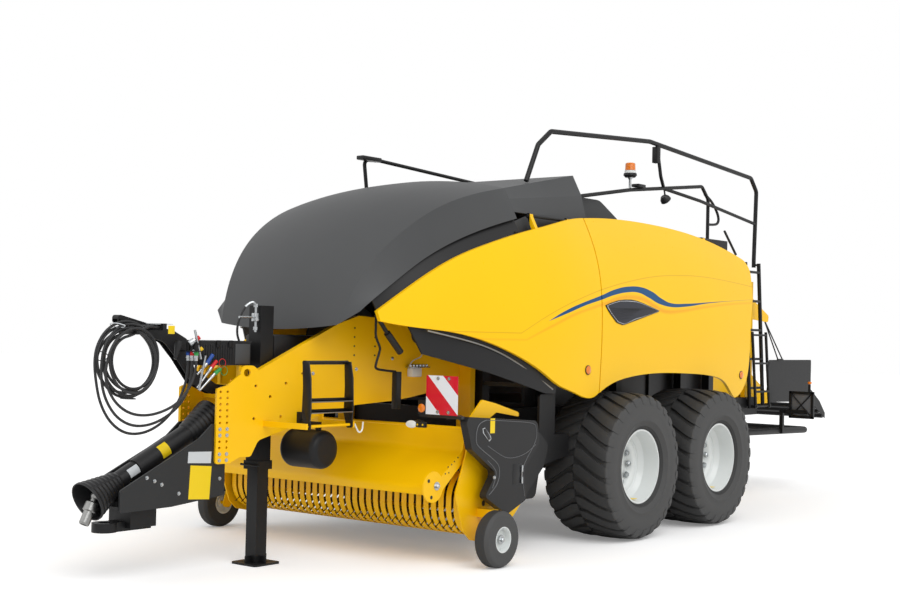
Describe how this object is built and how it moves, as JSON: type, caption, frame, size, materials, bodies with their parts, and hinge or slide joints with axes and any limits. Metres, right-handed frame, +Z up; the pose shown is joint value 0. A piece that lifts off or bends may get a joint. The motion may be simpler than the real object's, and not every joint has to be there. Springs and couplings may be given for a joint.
{
  "type": "large square baler",
  "caption": "Towed large square baler on tandem wheels: lofted hood, side shields, tine pickup, drawbar with jack, guarded driveline, bale chute, platform rails.",
  "frame": {"origin": "on the ground, at the middle of the machine's length and width", "axes": "+Z up, -Y towards the tractor, +X the machine's left side"},
  "size_m": [2.989, 9.992, 3.4609],
  "materials": {
    "bare_steel": "worn bare steel",
    "beacon_orange": "orange lens",
    "black_plastic": "black moulded plastic",
    "board_striped": "white with red stripes",
    "cast_metal": "painted casting",
    "frame_black": "satin black paint",
    "hood_grey": "dark grey moulded plastic",
    "hose": "black hose rubber",
    "rim_white": "white paint",
    "tongue_grey": "satin dark grey paint",
    "tyre": "black rubber",
    "yellow_paint": "gloss yellow paint"
  },
  "bodies": {
    "chassis": {"bogie_frame": "frame_black", "main_frame": "frame_black", "bale_chamber": "yellow_paint", "density_frame": "yellow_paint", "drawbar": "yellow_paint", "hitch_tongue": "tongue_grey", "tow_eye": "frame_black", "gearbox": "cast_metal", "input_shaft": "black_plastic", "jack_sleeve": "frame_black", "top_cowl": "hood_grey", "knotter_deck": "frame_black", "handrails": "frame_black", "beacon": "beacon_orange", "lower_trims": "black_plastic", "hood_trims": "black_plastic", "cutter_box": "frame_black", "air_tank": "frame_black", "toolbox": "black_plastic", "hose_arm": "frame_black", "hose_coil": "hose", "hose_tails": "hose", "hose_plugs": "bare_steel", "chute_stays": "frame_black", "rear_bumper": "frame_black", "rear_ladder": "frame_black", "rear_light_boards": "frame_black"},
    "jack": {"jack_leg": "frame_black"},
    "pto_rear": {"pto_rear_guard": "black_plastic"},
    "pto_front": {"pto_front_guard": "black_plastic"},
    "pto_yoke_body": {"pto_yoke": "bare_steel"},
    "hood": {"front_hood": "hood_grey"},
    "front_shield_left_body": {"front_shield_left": "yellow_paint"},
    "rear_shield_left_body": {"rear_shield_left": "yellow_paint"},
    "wheel_left_front": {"tyre_left_front": "tyre", "rim_left_front": "rim_white"},
    "wheel_left_rear": {"tyre_left_rear": "tyre", "rim_left_rear": "rim_white"},
    "front_shield_right_body": {"front_shield_right": "yellow_paint"},
    "rear_shield_right_body": {"rear_shield_right": "yellow_paint"},
    "wheel_right_front": {"tyre_right_front": "tyre", "rim_right_front": "rim_white"},
    "wheel_right_rear": {"tyre_right_rear": "tyre", "rim_right_rear": "rim_white"},
    "pickup": {"pickup_frame": "yellow_paint", "pickup_bands": "yellow_paint", "cutter_covers": "black_plastic", "warning_boards": "board_striped"},
    "reel": {"pickup_reel": "bare_steel"},
    "guard": {"wind_guard": "yellow_paint"},
    "rotor": {"feeder_rotor": "bare_steel"},
    "chute": {"bale_chute": "frame_black"},
    "step": {"side_step": "frame_black"},
    "lower_ladder": {"ladder_step": "frame_black"},
    "gauge_wheel_left": {"gauge_tyre_left": "tyre", "gauge_rim_left": "rim_white"},
    "gauge_wheel_right": {"gauge_tyre_right": "tyre", "gauge_rim_right": "rim_white"}
  },
  "joints": [
    {"name": "jack_slide", "type": "slide", "parent": "chassis", "child": "jack", "axis": [0, 0, 1], "range_m": [0, 0.45]},
    {"name": "pto_lift", "type": "hinge", "parent": "chassis", "child": "pto_rear", "pos_m": [0, -3.85546, 1.028], "axis": [-1, 0, 0], "range_deg": [0, 30]},
    {"name": "pto_telescope", "type": "slide", "parent": "pto_rear", "child": "pto_front", "axis": [0, -0.8988, -0.4384], "range_m": [0, 0.26]},
    {"name": "pto_yoke_spin", "type": "hinge", "parent": "pto_front", "child": "pto_yoke_body", "pos_m": [0, -4.82526, 0.555], "axis": [0, -0.4587, -0.8886], "continuous": true},
    {"name": "hood_hinge", "type": "hinge", "parent": "chassis", "child": "hood", "pos_m": [0, -1.68546, 2.755], "axis": [-1, 0, 0], "range_deg": [0, 50]},
    {"name": "front_shield_left_hinge", "type": "hinge", "parent": "chassis", "child": "front_shield_left_body", "pos_m": [0.975, 0.10454, 2.565], "axis": [0, -1, 0], "range_deg": [0, 75]},
    {"name": "rear_shield_left_hinge", "type": "hinge", "parent": "chassis", "child": "rear_shield_left_body", "pos_m": [0.975, 0.10454, 2.565], "axis": [0, -1, 0], "range_deg": [0, 75]},
    {"name": "wheel_left_front_spin", "type": "hinge", "parent": "chassis", "child": "wheel_left_front", "pos_m": [1.185, -0.56196, 0.595], "axis": [1, 0, 0], "continuous": true},
    {"name": "wheel_left_rear_spin", "type": "hinge", "parent": "chassis", "child": "wheel_left_rear", "pos_m": [1.185, 0.77104, 0.595], "axis": [1, 0, 0], "continuous": true},
    {"name": "front_shield_right_hinge", "type": "hinge", "parent": "chassis", "child": "front_shield_right_body", "pos_m": [-0.975, 0.10454, 2.565], "axis": [0, 1, 0], "range_deg": [0, 75]},
    {"name": "rear_shield_right_hinge", "type": "hinge", "parent": "chassis", "child": "rear_shield_right_body", "pos_m": [-0.975, 0.10454, 2.565], "axis": [0, 1, 0], "range_deg": [0, 75]},
    {"name": "wheel_right_front_spin", "type": "hinge", "parent": "chassis", "child": "wheel_right_front", "pos_m": [-1.185, -0.56196, 0.595], "axis": [1, 0, 0], "continuous": true},
    {"name": "wheel_right_rear_spin", "type": "hinge", "parent": "chassis", "child": "wheel_right_rear", "pos_m": [-1.185, 0.77104, 0.595], "axis": [1, 0, 0], "continuous": true},
    {"name": "pickup_lift", "type": "hinge", "parent": "chassis", "child": "pickup", "pos_m": [0, -1.64546, 0.8], "axis": [-1, 0, 0], "range_deg": [0, 10]},
    {"name": "reel_spin", "type": "hinge", "parent": "pickup", "child": "reel", "pos_m": [0, -2.34546, 0.42], "axis": [1, 0, 0], "continuous": true},
    {"name": "wind_guard_hinge", "type": "hinge", "parent": "pickup", "child": "guard", "pos_m": [0, -2.49546, 0.955], "axis": [-1, 0, 0], "range_deg": [0, 35]},
    {"name": "rotor_spin", "type": "hinge", "parent": "chassis", "child": "rotor", "pos_m": [0, -1.77546, 0.64], "axis": [1, 0, 0], "continuous": true},
    {"name": "chute_hinge", "type": "hinge", "parent": "chassis", "child": "chute", "pos_m": [0, 3.43454, 1.02], "axis": [1, 0, 0], "range_deg": [0, 80]},
    {"name": "side_step_hinge", "type": "hinge", "parent": "chassis", "child": "step", "pos_m": [0.66, -3.39046, 0.985], "axis": [0, 1, 0], "range_deg": [0, 175]},
    {"name": "ladder_step_hinge", "type": "hinge", "parent": "chassis", "child": "lower_ladder", "pos_m": [0.815, 2.91454, 0.96], "axis": [0, 1, 0], "range_deg": [0, 170]},
    {"name": "gauge_left_spin", "type": "hinge", "parent": "pickup", "child": "gauge_wheel_left", "pos_m": [1.432, -2.47546, 0.2], "axis": [1, 0, 0], "continuous": true},
    {"name": "gauge_right_spin", "type": "hinge", "parent": "pickup", "child": "gauge_wheel_right", "pos_m": [-1.432, -2.47546, 0.2], "axis": [1, 0, 0], "continuous": true}
  ]
}
